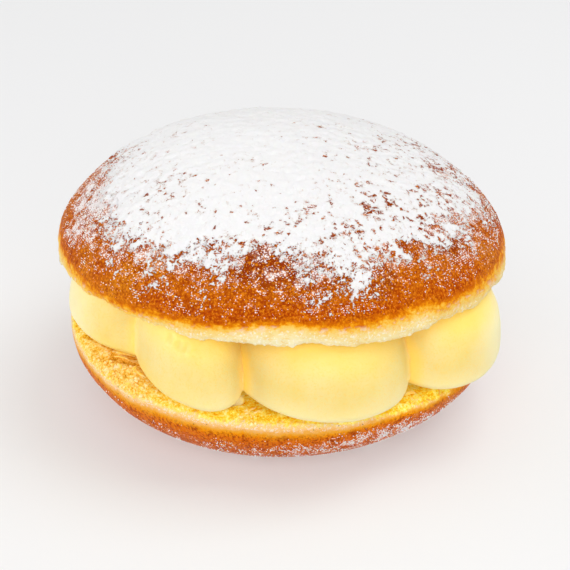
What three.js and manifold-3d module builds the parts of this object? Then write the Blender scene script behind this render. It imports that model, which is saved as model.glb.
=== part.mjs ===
// A cream-filled berliner: a fried bun cut across, with piped custard cream between its halves.
// Millimetres and degrees. X is right, Y is away from the front, Z is up, and the origin is
// the middle of the flat spot that the bun rests on. Angles round the bun start at +X and run
// anticlockwise seen from above, so the front is at -90.
import * as THREE from "three";
import { mergeVertices } from "three/addons/utils/BufferGeometryUtils.js";
import Module from "manifold-3d";

const wasm = await Module();
wasm.setup();

// ---- driving dimensions ----
const GAP = 0.3; // air between the cream and each half

// Top half, in its own frame: Z = 0 is the cut face.
const TOP_RADIUS = 50; // widest part
const TOP_CUT_RADIUS = 49.6; // edge of the cut face
const TOP_WIDEST_HEIGHT = 2.2; // of the widest part above the cut
const TOP_DOME_HEIGHT = 24.7; // from the widest part to the top
const TOP_DOME_POWER = 1.8; // 2 would be an ellipse, less is more pointed
const TOP_PLACE = { x: -0.45, z: 35.8, roll: 2.0, pitch: -1.2 };
const TOP_LIP_RADIUS = 47.6; // the cut face is flat inside this, and its torn lip is outside

// Bottom half: a shallow bowl shape whose cut face is tilted.
const BOWL_WIDEST_RADIUS = 48.2;
const BOWL_WIDEST_HEIGHT = 19.1;
const BOWL_DEPTH = 25.4; // of the whole ellipsoid under its widest part
const BOWL_PLACE = { x: -0.15, z: 18.5, roll: 3.3, pitch: 1.2 };
const FOOT_RADIUS = 30.5; // flat spot that it rests on
const COLLAR_ROUNDING = 1.7; // of the pale edge, down from the cut face
const CRUMB_SINK = 0.5; // of the open crumb below the cream's footing

// Cream: dollops piped side by side, ellipses seen from above. x and y are a dollop's middle,
// long and wide its half-lengths, and turn is the direction of long.
const DOLLOPS = [
  { x: 7.6, y: -32.2, long: 20.3, wide: 18.7, turn: -56 }, // front
  { x: -20.0, y: -32.4, long: 18.1, wide: 10.0, turn: -65 }, // front left
  { x: -29.3, y: -7.9, long: 18.3, wide: 21.0, turn: -162 }, // left
  { x: 34.6, y: -17.0, long: 13.3, wide: 19.6, turn: -10 }, // right
  { x: 25.4, y: 18.2, long: 18.5, wide: 18.8, turn: 35 }, // behind, right
  { x: 0.8, y: 31.0, long: 17.6, wide: 18.6, turn: 90 }, // behind
  { x: -22.6, y: 21.0, long: 18.0, wide: 17.6, turn: 138 }, // behind, left
];
const CREAM_CORE_RADIUS = 34;
// Levels are shares of the way up from the crumb to the top half. Each dollop is a squashed
// ball that would run a little past both, and is cut flat there.
const DOLLOP_BOTTOM_LEVEL = -0.015;
const DOLLOP_WIDEST_LEVEL = 0.26;
const DOLLOP_TOP_LEVEL = 1.18;
const DOLLOP_POWER = 2.44; // of its outline from the side: 2 would be an ellipse

// Places where the torn edge hangs lower: angle, spread and drop.
const TORN_DROPS = [
  { angle: -171, spread: 17, drop: 1.7 },
  { angle: -108, spread: 16, drop: 0.7 },
  { angle: -72, spread: 16, drop: 0.7 },
  { angle: -34, spread: 5, drop: 0.7 },
  { angle: -5, spread: 13, drop: 1.1 },
  { angle: 64, spread: 11, drop: 0.8 },
  { angle: 131, spread: 14, drop: 0.9 },
];
// Flaps of torn crumb that stand up on the open edge of the bottom half.
const CRUMB_FLAPS = [
  { angle: -150, radius: 43.6, length: 8, width: 2.2, height: 0.9 },
  { angle: -137, radius: 45.2, length: 6, width: 2.0, height: 0.7 },
  { angle: -103, radius: 45.6, length: 5, width: 2.0, height: 0.7 },
  { angle: -44, radius: 45.4, length: 6, width: 2.4, height: 0.8 },
  { angle: 20, radius: 45.6, length: 7, width: 2.2, height: 0.7 },
  { angle: 66, radius: 45.4, length: 5, width: 2.0, height: 0.8 },
  { angle: 113, radius: 45.5, length: 7, width: 2.2, height: 0.7 },
  { angle: 162, radius: 45.2, length: 6, width: 2.0, height: 0.7 },
];

// Steps round each piece, and rows of faces up its curves.
const BUN_STEPS = 96;
const DOLLOP_STEPS = 40;
const CORE_STEPS = 28;
const DOME_ROWS = 12;
const BOWL_ROWS = 7;
const DOLLOP_ROWS = 7; // below its widest level, and again above

// ---- small helpers ----
const radians = THREE.MathUtils.degToRad;
const smoothstep = THREE.MathUtils.smoothstep;
const TAU = 2 * Math.PI;

// Sum of waves round the bun, each [count, amount, phase].
function waves(angle, list) {
  return list.reduce((sum, [count, amount, phase]) => sum + amount * Math.cos(count * angle + phase), 0);
}

// Smooth bump of height 1 at an angle in degrees, falling off over spread degrees.
function bumpRound(angle, middle, spread) {
  const turn = THREE.MathUtils.euclideanModulo(angle - radians(middle) + Math.PI, TAU) - Math.PI;
  return Math.exp(-((turn / radians(spread)) ** 2));
}

// Height over (x, y) of a plane through (place.x, 0, place.z), rolled and then pitched.
function planeHeight(place, x, y) {
  const roll = radians(place.roll);
  const pitch = radians(place.pitch);
  const slopeX = Math.tan(roll) / Math.cos(pitch);
  const slopeY = -Math.tan(pitch);
  return place.z - slopeX * (x - place.x) - slopeY * y;
}

// Turns a profile of [radius, height] round Z, then moves each vertex: place(radius, angle,
// height) gives its x, y and z.
function turned(profile, steps, place) {
  const points = profile.map(([radius, height]) => new THREE.Vector2(radius, height));
  const geometry = new THREE.LatheGeometry(points, steps);
  geometry.rotateX(Math.PI / 2);
  const position = geometry.getAttribute("position");
  for (let i = 0; i < position.count; i += 1) {
    const radius = Math.hypot(position.getX(i), position.getY(i));
    const angle = radius > 1e-9 ? Math.atan2(position.getY(i), position.getX(i)) : 0;
    position.setXYZ(i, ...place(radius, angle, position.getZ(i)));
  }
  geometry.computeVertexNormals();
  return geometry;
}

function mesh(name, geometry, color, roughness) {
  const material = new THREE.MeshStandardMaterial({ color, roughness, metalness: 0 });
  const piece = new THREE.Mesh(geometry, material);
  piece.name = name;
  return piece;
}

// ---- top half ----
const TOP_OUTLINE_WAVES = [[2, 0.2, 0.6], [3, 0.22, 2.4], [5, 0.14, 1.1], [9, 0.08, 4.0]];
const TOP_EDGE_WAVES = [[7, 0.22, 0.9], [13, 0.24, 2.2], [19, 0.2, 5.1], [31, 0.16, 3.3]];

function topHalf() {
  const profile = [[0, 0], [24, 0], [TOP_LIP_RADIUS, 0], [49.1, 0.1], [TOP_CUT_RADIUS, 0.7]];
  for (let row = 0; row <= DOME_ROWS; row += 1) {
    const turn = (row / DOME_ROWS) * (Math.PI / 2);
    const radius = row < DOME_ROWS ? TOP_RADIUS * Math.cos(turn) ** (2 / TOP_DOME_POWER) : 0;
    const rise = TOP_DOME_HEIGHT * Math.sin(turn) ** (2 / TOP_DOME_POWER);
    profile.push([radius, TOP_WIDEST_HEIGHT + rise]);
  }
  const geometry = turned(profile, BUN_STEPS, (radius, angle, height) => {
    const rim = smoothstep(radius, TOP_LIP_RADIUS, TOP_CUT_RADIUS);
    const edge = rim * (1 - smoothstep(height, 0.5, 5));
    const torn = TORN_DROPS.reduce((sum, t) => sum + t.drop * bumpRound(angle, t.angle, t.spread), 0);
    const drop = edge * (torn + waves(angle, TOP_EDGE_WAVES));
    const share = radius / TOP_RADIUS;
    const reach = radius + share ** 3 * waves(angle, TOP_OUTLINE_WAVES);
    return [reach * Math.cos(angle), reach * Math.sin(angle), height - drop];
  });
  const piece = mesh("top_half", geometry, "#b8661a", 0.55);
  piece.position.set(TOP_PLACE.x, 0, TOP_PLACE.z);
  piece.rotation.set(radians(TOP_PLACE.pitch), radians(TOP_PLACE.roll), 0);
  return piece;
}

// ---- bottom half ----
const BOWL_OUTLINE_WAVES = [[2, 0.18, 1.9], [3, 0.2, 0.2], [5, 0.12, 3.0], [11, 0.06, 1.0]];
const CRUMB_WAVES = [[17, 0.2, 0.4], [23, 0.16, 2.9], [29, 0.14, 1.7]];

function bowlRadius(height) {
  const below = (BOWL_WIDEST_HEIGHT - height) / BOWL_DEPTH;
  return BOWL_WIDEST_RADIUS * Math.sqrt(1 - below * below);
}

// Height that a torn flap adds at a place on the crumb.
function flapHeight(flap, radius, angle) {
  const along = bumpRound(angle, flap.angle, (flap.length / flap.radius) * (90 / Math.PI));
  return flap.height * along * Math.exp(-(((radius - flap.radius) / flap.width) ** 2));
}

// Height of the cut face: flat under the cream, open crumb with flaps towards its edge.
function crumbHeight(radius, angle, x, y) {
  const open = smoothstep(radius, 42.5, 44.5);
  const pores = CRUMB_SINK * (0.4 + waves(angle + radius, CRUMB_WAVES));
  const flaps = CRUMB_FLAPS.reduce((sum, flap) => sum + flapHeight(flap, radius, angle), 0);
  return planeHeight(BOWL_PLACE, x, y) + open * (flaps - pores);
}

function bottomHalf() {
  // The profile's heights are levels: 0 at the foot, 1 at the cut face, and 2 on the crumb.
  const profile = [[0, 0], [16, 0], [FOOT_RADIUS, 0]];
  for (let row = 1; row <= BOWL_ROWS; row += 1) profile.push([BOWL_WIDEST_RADIUS, row / (BOWL_ROWS + 1)]);
  profile.push([BOWL_WIDEST_RADIUS, 1]);
  for (const radius of [47.7, 46.4, 44.8, 43.2, 41.5, 38, 20, 0]) profile.push([radius, 2]);

  const geometry = turned(profile, BUN_STEPS, (radius, angle, level) => {
    const outline = waves(angle, BOWL_OUTLINE_WAVES) * (radius / BOWL_WIDEST_RADIUS) ** 3;
    const placed = (reach, height) => [
      BOWL_PLACE.x + (reach + outline) * Math.cos(angle), (reach + outline) * Math.sin(angle), height];
    const x = radius * Math.cos(angle);
    const y = radius * Math.sin(angle);
    if (level < 0.01) return placed(radius, 0);
    if (level > 1.99) return placed(radius, crumbHeight(radius, angle, x, y));
    const height = level * (planeHeight(BOWL_PLACE, x, y) - COLLAR_ROUNDING);
    return placed(bowlRadius(height), height);
  });
  return mesh("bottom_half", geometry, "#c9822e", 0.6);
}

// ---- cream ----
// Place at a level between the crumb and the top half, over (x, y).
function between(x, y, level) {
  const low = planeHeight(BOWL_PLACE, x, y) + GAP;
  const high = planeHeight(TOP_PLACE, x, y) - GAP;
  return [x, y, low + level * (high - low)];
}

// Closed geometry as a solid that can be joined and cut.
function solid(geometry) {
  const bare = geometry.clone();
  bare.deleteAttribute("normal");
  bare.deleteAttribute("uv");
  const merged = mergeVertices(bare, 1e-4);
  const vertProperties = new Float32Array(merged.getAttribute("position").array);
  const triVerts = new Uint32Array(merged.index.array);
  return new wasm.Manifold(new wasm.Mesh({ numProp: 3, vertProperties, triVerts }));
}

function fromSolid(shape) {
  const { vertProperties, triVerts } = shape.getMesh();
  const geometry = new THREE.BufferGeometry();
  geometry.setAttribute("position", new THREE.BufferAttribute(vertProperties, 3));
  geometry.setIndex(new THREE.BufferAttribute(triVerts, 1));
  geometry.computeVertexNormals();
  return geometry;
}

// A squashed ball of radius 1 whose heights are levels, set out over its ellipse.
function dollopSolid(dollop) {
  const profile = [];
  for (let row = -DOLLOP_ROWS; row <= DOLLOP_ROWS; row += 1) {
    const turn = (Math.abs(row) / DOLLOP_ROWS) * (Math.PI / 2);
    const end = row < 0 ? DOLLOP_BOTTOM_LEVEL : DOLLOP_TOP_LEVEL;
    const radius = Math.abs(row) < DOLLOP_ROWS ? Math.cos(turn) ** (2 / DOLLOP_POWER) : 0;
    const rise = (end - DOLLOP_WIDEST_LEVEL) * Math.sin(turn) ** (2 / DOLLOP_POWER);
    profile.push([radius, DOLLOP_WIDEST_LEVEL + rise]);
  }
  const turn = radians(dollop.turn);
  return solid(turned(profile, DOLLOP_STEPS, (radius, angle, level) => {
    const along = dollop.long * radius * Math.cos(angle);
    const across = dollop.wide * radius * Math.sin(angle);
    const x = dollop.x + along * Math.cos(turn) - across * Math.sin(turn);
    const y = dollop.y + along * Math.sin(turn) + across * Math.cos(turn);
    return between(x, y, level);
  }));
}

// A round block between two levels.
function drum(radius, low, high, steps) {
  const profile = [[0, low], [radius, low], [radius, high], [0, high]];
  return solid(turned(profile, steps, (reach, angle, level) => (
    between(reach * Math.cos(angle), reach * Math.sin(angle), level))));
}

function creamFilling() {
  let cream = drum(CREAM_CORE_RADIUS, -0.1, 1.1, CORE_STEPS);
  for (const dollop of DOLLOPS) cream = cream.add(dollopSolid(dollop));
  cream = cream.intersect(drum(2 * TOP_RADIUS, 0, 1, 8));
  return mesh("cream_filling", fromSolid(cream), "#fbe387", 0.45);
}

// ---- the whole bun ----
const berliner = new THREE.Group();
berliner.add(topHalf(), creamFilling(), bottomHalf());

export default berliner;
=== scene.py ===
"""A cream-filled berliner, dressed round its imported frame.

Lengths inside the shape functions are millimetres, as in the part's own source, and become
metres when a mesh is made. X is right, Y is away from the camera, Z is up. Angles round the
bun start at +X and run anticlockwise seen from above, so the front is at -90 degrees.
"""
import math

import bpy
import numpy as np
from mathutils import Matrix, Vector


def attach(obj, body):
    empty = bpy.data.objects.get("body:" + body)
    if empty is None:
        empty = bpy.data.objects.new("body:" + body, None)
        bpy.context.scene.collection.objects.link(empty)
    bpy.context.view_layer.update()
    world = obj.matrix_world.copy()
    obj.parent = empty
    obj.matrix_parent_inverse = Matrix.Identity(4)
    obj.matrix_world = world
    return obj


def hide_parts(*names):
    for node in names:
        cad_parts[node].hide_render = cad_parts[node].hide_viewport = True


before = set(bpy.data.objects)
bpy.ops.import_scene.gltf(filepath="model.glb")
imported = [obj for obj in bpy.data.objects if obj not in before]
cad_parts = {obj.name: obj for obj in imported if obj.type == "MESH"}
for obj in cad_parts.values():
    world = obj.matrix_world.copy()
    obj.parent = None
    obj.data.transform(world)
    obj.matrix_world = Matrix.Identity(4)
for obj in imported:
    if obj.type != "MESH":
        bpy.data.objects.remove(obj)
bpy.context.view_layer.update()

MM = 0.001
TAU = 2 * math.pi

# ---- driving dimensions, as in the part's source ----
GAP = 0.3

TOP_RADIUS = 50.0
TOP_CUT_RADIUS = 49.6
TOP_LIP_RADIUS = 47.6
TOP_WIDEST_HEIGHT = 2.2
TOP_DOME_HEIGHT = 24.7
TOP_DOME_POWER = 1.8
TOP_PLACE = dict(x=-0.45, z=35.8, roll=2.0, pitch=-1.2)

BOWL_WIDEST_RADIUS = 48.2
BOWL_WIDEST_HEIGHT = 19.1
BOWL_DEPTH = 25.4
BOWL_PLACE = dict(x=-0.15, z=18.5, roll=3.3, pitch=1.2)
FOOT_RADIUS = 30.5
COLLAR_ROUNDING = 1.7

# Dollops of cream: x, y, half-length, half-width, and the direction of the length.
DOLLOPS = [
    (7.6, -32.2, 20.3, 18.7, -56),
    (-20.0, -32.4, 18.1, 10.0, -65),
    (-29.3, -7.9, 18.3, 21.0, -162),
    (34.6, -17.0, 13.3, 19.6, -10),
    (25.4, 18.2, 18.5, 18.8, 35),
    (0.8, 31.0, 17.6, 18.6, 90),
    (-22.6, 21.0, 18.0, 17.6, 138),
]
CREAM_CORE_RADIUS = 34.0
DOLLOP_BOTTOM_LEVEL = -0.015
DOLLOP_WIDEST_LEVEL = 0.26
DOLLOP_TOP_LEVEL = 1.18
DOLLOP_POWER = 2.44

# Places where the torn edge of the top half hangs lower: angle, spread and drop.
TORN_DROPS = [
    (-171, 17, 1.7), (-108, 16, 0.7), (-72, 16, 0.7), (-34, 5, 0.7), (-5, 13, 1.1),
    (64, 11, 0.8), (131, 14, 0.9),
]
TOP_OUTLINE_WAVES = [(2, 0.2, 0.6), (3, 0.22, 2.4), (5, 0.14, 1.1), (9, 0.08, 4.0)]
TOP_EDGE_WAVES = [(7, 0.22, 0.9), (13, 0.24, 2.2), (19, 0.2, 5.1), (31, 0.16, 3.3)]
BOWL_OUTLINE_WAVES = [(2, 0.18, 1.9), (3, 0.2, 0.2), (5, 0.12, 3.0), (11, 0.06, 1.0)]
# Folds and dents that the piping left in the cream: x, y, z, radius and rise.
CREAM_MARKS = [
    (-40.0, -23.6, 27.7, 1.0, -0.35), (-37.7, -25.5, 26.1, 1.3, -0.45), (-23.3, -42.3, 35.0, 0.9, -0.5),
    (-22.4, -43.4, 34.0, 0.8, 0.35), (-21.5, -44.2, 34.4, 0.8, -0.5), (-19.8, -45.4, 34.3, 0.9, -0.4),
    (-19.0, -46.0, 33.2, 0.9, 0.3), (-12.3, -45.7, 33.8, 1.5, 0.35), (36.0, 33.0, 28.0, 1.6, -0.4),
    (0.5, 49.0, 30.0, 1.8, 0.35), (-36.5, 31.0, 26.0, 1.4, -0.4),
]
# Where a dollop ends in a small smear on the crumb: as for a dollop, then the level of its top.
CREAM_SMEARS = [(-11.6, -41.0, 3.6, 1.7, 8, 0.13), (17.0, 45.0, 2.6, 1.5, 60, 0.12)]

# Flaps of torn crumb: angle, radius, length round the bun, width and height.
CRUMB_FLAPS = [
    (-150, 43.6, 8, 2.2, 0.9), (-137, 45.2, 6, 2.0, 0.7), (-103, 45.6, 5, 2.0, 0.7),
    (-44, 45.4, 6, 2.4, 0.8), (20, 45.6, 7, 2.2, 0.7), (66, 45.4, 5, 2.0, 0.8),
    (113, 45.5, 7, 2.2, 0.7), (162, 45.2, 6, 2.0, 0.7),
]

# ---- camera, fitted to the photograph's outlines ----
CAMERA_DISTANCE = 450.0
CAMERA_ELEVATION = 27.12
CAMERA_TARGET = (0.44, 0.0, 25.6)
CAMERA_LENS = 125.05
CAMERA_SENSOR = 36  # millimetres, as the lens

# ---- soft light and white table ----
SKY_STRENGTH = 0.49
FLOOR_HALF = 3.0  # metres
FLOOR_GLOW = 0.366  # the floor is a lit white table
FLOOR_FADE = (0.4, 0.95)  # distances in metres over which it fades into the sky
LAMP_DISTANCE = 0.9
# Each lamp's name, the side and height in degrees that it shines from, its power, width and height.
LAMPS = [
    ("front", 270, 30, 3.33, 0.6, 0.6),
    ("right", 0, 65, 3.33, 0.6, 0.6),
    ("low left", 180, 12, 2.52, 0.6, 0.3),
    ("back", 90, 65, 0.5, 0.6, 0.6),
]


# ---- noise ----
class Noise:
    """Smooth gradient noise in three dimensions, about -1 to 1, the same on every run."""

    def __init__(self, seed):
        draw = np.random.RandomState(seed)
        self.order = np.tile(draw.permutation(256), 2)
        slopes = draw.normal(size=(256, 3))
        self.slopes = slopes / np.linalg.norm(slopes, axis=1)[:, None]

    def slope_at(self, cell):
        """The fixed random direction of each cell of the grid."""
        x, y, z = (cell & 255).T
        return self.slopes[self.order[self.order[self.order[x] + y] + z]]

    def __call__(self, points):
        base = np.floor(points).astype(int)
        part = points - base
        fade = part ** 3 * (part * (part * 6 - 15) + 10)
        total = np.zeros(len(points))
        for corner in range(8):
            step = np.array([corner & 1, corner >> 1 & 1, corner >> 2 & 1])
            share = np.where(step, fade, 1 - fade).prod(axis=1)
            total += share * (self.slope_at(base + step) * (part - step)).sum(axis=1)
        return total * 1.5

    def rough(self, points, size, octaves=4, gain=0.5):
        """Layers of noise, the largest with bumps of that size in millimetres."""
        total, reach, amount = 0, 0, 1
        for octave in range(octaves):
            shift = 17.3 * octave
            total = total + amount * self(points / size * 2 ** octave + shift)
            reach += amount
            amount *= gain
        return total / reach

    def cells(self, points, size):
        """Distance to the nearest of the scattered points, one to a cell of that size, in cells."""
        at = points / size
        base = np.floor(at).astype(int)
        nearest = np.full(len(points), 9.0)
        for corner in range(27):
            step = np.array([corner % 3, corner // 3 % 3, corner // 9]) - 1
            cell = base + step
            middle = cell + 0.5 + 0.42 * self.slope_at(cell)
            nearest = np.minimum(nearest, np.linalg.norm(at - middle, axis=1))
        return nearest


def smoothstep(value, low, high):
    share = np.clip((value - low) / (high - low), 0, 1)
    return share * share * (3 - 2 * share)


def waves(angle, rows):
    return sum(amount * np.cos(count * angle + phase) for count, amount, phase in rows)


def bump_round(angle, middle, spread):
    """A smooth bump round the bun, 1 at its middle. Middle and spread are in degrees."""
    turn = (angle - math.radians(middle) + math.pi) % TAU - math.pi
    return np.exp(-((turn / math.radians(spread)) ** 2))


def changed(angle, rows):
    """The sum of changes, each a bump round the bun given by middle, spread and amount."""
    return sum(amount * bump_round(angle, middle, spread) for middle, spread, amount in rows)


def plane_height(place, x, y):
    roll, pitch = math.radians(place["roll"]), math.radians(place["pitch"])
    slope_x = math.tan(roll) / math.cos(pitch)
    return place["z"] - slope_x * (x - place["x"]) + math.tan(pitch) * y


def turn_matrix(place):
    roll, pitch = math.radians(place["roll"]), math.radians(place["pitch"])
    sin_roll, cos_roll = math.sin(roll), math.cos(roll)
    sin_pitch, cos_pitch = math.sin(pitch), math.cos(pitch)
    about_y = np.array([[cos_roll, 0, sin_roll], [0, 1, 0], [-sin_roll, 0, cos_roll]])
    about_x = np.array([[1, 0, 0], [0, cos_pitch, -sin_pitch], [0, sin_pitch, cos_pitch]])
    return about_x @ about_y


# ---- meshes ----
def add_object(name, data):
    thing = bpy.data.objects.new(name, data)
    bpy.context.scene.collection.objects.link(thing)
    return thing


def make_mesh(name, points, faces, slot, **fields):
    """A smooth mesh object from points in millimetres, with a value per point for each field."""
    mesh = bpy.data.meshes.new(name)
    mesh.from_pydata((points * MM).tolist(), [], faces)
    mesh.shade_smooth()
    piece = add_object(name, mesh)
    for field, values in fields.items():
        layer = mesh.attributes.new(field, "FLOAT", "POINT")
        layer.data.foreach_set("value", np.asarray(values, dtype=np.float32))
    mesh.update()
    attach(piece, "root")
    return piece


def ring_faces(rows, steps, first=0):
    """Quads between rings of points that follow one another, each ring of that many steps."""
    row, step = np.meshgrid(np.arange(rows - 1), np.arange(steps), indexing="ij")
    after = (step + 1) % steps
    low, high = first + row * steps, first + (row + 1) * steps
    return np.stack([low + step, low + after, high + after, high + step], -1).reshape(-1, 4)


def fan(ring, middle):
    """Triangles from a closed ring of points to the point in its middle."""
    return np.stack([np.roll(ring, -1), ring, np.full(len(ring), middle)], -1)


def normals_of(points, quads):
    """Normal at each point, from the quads round it."""
    corner = points[quads]
    across = np.cross(corner[:, 2] - corner[:, 0], corner[:, 3] - corner[:, 1])
    total = np.zeros_like(points)
    for side in range(4):
        np.add.at(total, quads[:, side], across)
    return total / np.maximum(np.linalg.norm(total, axis=1), 1e-12)[:, None]


def disc_grid(half):
    """An even grid bent to a disc: share of the radius and angle of its points, its quads, and
    its outermost ring, anticlockwise from -135 degrees."""
    side = np.arange(-half, half + 1)
    column, row = np.meshgrid(side, side, indexing="xy")
    reach = np.maximum(abs(column), abs(row)).astype(float)
    turn = math.pi / 4 / np.maximum(reach, 1)
    along_x = np.where(column >= 0, 0, math.pi) + np.sign(column) * turn * row
    along_y = np.sign(row) * (math.pi / 2 - turn * column)
    angle = np.where(abs(column) >= abs(row), along_x, along_y)
    count = 2 * half + 1
    index = np.arange(count * count).reshape(count, count)
    quads = np.stack([index[:-1, :-1], index[:-1, 1:], index[1:, 1:], index[1:, :-1]], -1).reshape(-1, 4)
    rim = np.concatenate([index[0, :-1], index[:-1, -1], index[-1, :0:-1], index[:0:-1, 0]])
    return (reach / half).ravel(), angle.ravel(), quads, rim


def along_profile(profile, share):
    """Radius and height at those shares of the length of a profile of (radius, height) points."""
    steps = np.linalg.norm(np.diff(profile, axis=0), axis=1)
    length = np.concatenate([[0], np.cumsum(steps)])
    return [np.interp(share * length[-1], length, column) for column in np.transpose(profile)]


# ---- top half ----
DISC_HALF = 132  # half the squares across the dome's grid
# Radius and height of the lip, from the dome's widest part in to the flat underside.
TOP_LIP = [
    (TOP_RADIUS, TOP_WIDEST_HEIGHT), (49.95, 1.4), (TOP_CUT_RADIUS, 0.7), (49.1, 0.15),
    (48.4, 0), (45.5, 0),
]
LIP_ROWS = 22
UNDERSIDE_RADII = [42, 32, 16]
# How far the icing sugar reaches down the dome: radius, then angle, spread and change.
SUGAR_REACH = 41.6
SUGAR_REACH_CHANGES = [
    (172, 20, -3.0), (-139, 9, 2.2), (-116, 10, 2.4), (-95, 8, -3.4), (-74, 9, 3.0),
    (-48, 8, 1.5), (-35, 7, 1.5), (-8, 18, 2.0), (32, 14, -2.0), (75, 15, 2.0), (118, 14, -2.4),
]
# Thickness of the sugar, in spreads of its fine unevenness, by distance in from its edge in mm.
SUGAR_THICKNESS = ([-16, -9, -5, -2, 0, 2, 5, 10, 18], [-5.2, -3.7, -2.2, -0.7, 0.6, 1.9, 2.9, 3.8, 4.6])
# How freely gaps open in it, by the same distance.
GAPS_INWARD = ([-2, 0, 6, 14, 25], [0.6, 0.9, 0.6, 0.15, -0.6])
# Places without sugar, darker (over 0) or more golden (under 0) crust: angle, radius, size, strength.
BARE_SPOTS = [
    (-95, 41.0, 3.0, 3.0), (-51, 41.0, 1.7, 3.4), (-47, 41.4, 1.5, 3.0), (-28, 40.4, 1.3, 3.0),
    (38, 37.5, 2.6, 2.8), (146, 39.0, 2.2, 2.6),
]
CRUST_SPOTS = [
    (-95, 41.0, 2.6, 1.0), (-90, 38.6, 2.2, 0.6), (-101, 42.6, 3.2, 0.5), (-75, 44.6, 3.0, 0.5),
    (-125, 44.7, 2.6, -0.9), (-120, 47.3, 3.2, -0.5), (-54, 46.9, 4.0, -0.5), (-59, 49.2, 2.4, -0.7),
    (-138, 47.5, 8.0, -0.8), (-22, 47.5, 8.0, -0.6), (175, 48.0, 7.0, -0.6), (-90, 49.0, 9.0, 0.3),
    (-140, 44.0, 4.0, 0.4), (150, 44.0, 3.4, 0.7), (38, 42.5, 3.0, 0.7), (95, 46.5, 4.2, -0.6),
]
# Thin dust, in spreads of its grain: by height over the browning's start, then drifts beyond the
# white's edge by angle, spread and strength.
DUST_BY_HEIGHT = ([0.5, 3, 5, 7, 10], [-1.0, -0.85, -0.45, 0.2, 0.8])
DUST_DRIFTS = [
    (-169, 17, 2.5), (-130, 6, 0.8), (-84, 7, 0.9), (-15, 24, 1.0), (70, 25, 1.4), (140, 22, 1.6),
]
# Where the pale cut edge gives way to browned crust: height above the cut, then changes.
BROWN_HEIGHT = 4.8
BROWN_HEIGHT_CHANGES = [
    (-140, 24, -2.2), (-111, 13, -1.2), (-88, 11, 0.5), (-54, 4, 1.2), (-22, 14, 0.5),
    (30, 16, -1.2), (82, 12, 0.6), (125, 20, -1.4),
]
BROWN_HEIGHT_WAVES = [(7, 0.16, 0.5), (13, 0.14, 2.0)]
# How fast the cut edge pales downwards, as a share: angle, spread, change.
PALING = 0.5
PALING_CHANGES = [(-93, 26, 0.55), (60, 22, 0.4), (150, 18, 0.3)]
TOP_DENTS = [(178, 36, -0.7)]  # where the dough lies further in: angle, spread, depth


def dome_profile():
    turn = np.linspace(math.pi / 2, 0, 400)
    power = 2 / TOP_DOME_POWER
    radius = TOP_RADIUS * np.abs(np.cos(turn)) ** power
    height = TOP_WIDEST_HEIGHT + TOP_DOME_HEIGHT * np.sin(turn) ** power
    return np.stack([radius, height], -1)


def dome_surface():
    """The smooth top half: a grid bent over the dome, rings round its lip and under it, and its
    middle. Gives each point's radius, height and angle, the quads, and the last ring."""
    share, angle, quads, rim = disc_grid(DISC_HALF)
    radius, height = along_profile(dome_profile(), share)
    lip_radius, lip_height = along_profile(TOP_LIP, np.linspace(0, 1, LIP_ROWS + 1)[1:])
    ring_radius = np.append(lip_radius, UNDERSIDE_RADII)
    ring_height = np.append(lip_height, np.zeros(len(UNDERSIDE_RADII)))
    steps, rings, first = len(rim), len(ring_radius), len(radius)
    radius = np.concatenate([radius, np.repeat(ring_radius, steps), [0]])
    height = np.concatenate([height, np.repeat(ring_height, steps), [0]])
    angle = np.concatenate([angle, np.tile(angle[rim], rings), [0]])
    outermost = first + np.arange(steps)
    join = np.stack([outermost, np.roll(outermost, -1), np.roll(rim, -1), rim], -1)
    under = ring_faces(rings, steps, first)[:, ::-1]
    last_ring = outermost + (rings - 1) * steps
    return radius, height, angle, np.vstack([quads, join, under]), last_ring


def spots(points, rows):
    """Soft spots, round as seen from above, each given by angle, radius, size and strength."""
    total = np.zeros(len(points))
    for angle, radius, size, strength in rows:
        turn = math.radians(angle)
        away = np.hypot(points[:, 0] - radius * math.cos(turn), points[:, 1] - radius * math.sin(turn))
        total += strength * np.exp(-((away / size) ** 2))
    return total


def sugar_cover(points, radius, angle, clump, noise):
    """How well icing sugar covers each place: over 0 it is white, under 0 it is bare.
    Also how freely gaps open in it, and how far in from its edge the place is, in millimetres."""
    inside = SUGAR_REACH + changed(angle, SUGAR_REACH_CHANGES) - radius
    inside = inside + 5.0 * noise.rough(points + 60, 9, 2)
    warped = points * [1, 1, 1.6] + 1.1 * noise.rough(points + 31, 2.4, 2)[:, None]
    broad, narrow = noise.rough(warped, 4.6, 2), noise.rough(warped + 9, 1.5, 2, 0.8)
    cover = np.interp(inside, *SUGAR_THICKNESS) + 3.0 * broad + 3.5 * narrow
    cover -= 0.8 * smoothstep(clump, 0.5, 0.85) + spots(points, BARE_SPOTS)
    # Gaps in loose groups, more of them near the edge and on the right, fewer at the back.
    gaps = np.interp(inside, *GAPS_INWARD) + 2.75 * noise.rough(points + 83, 6.0, 2)
    gaps += 1.2 * smoothstep(points[:, 0], -8, 34) - 0.8 * smoothstep(points[:, 1], 0, 22)
    return cover, gaps, inside


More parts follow.
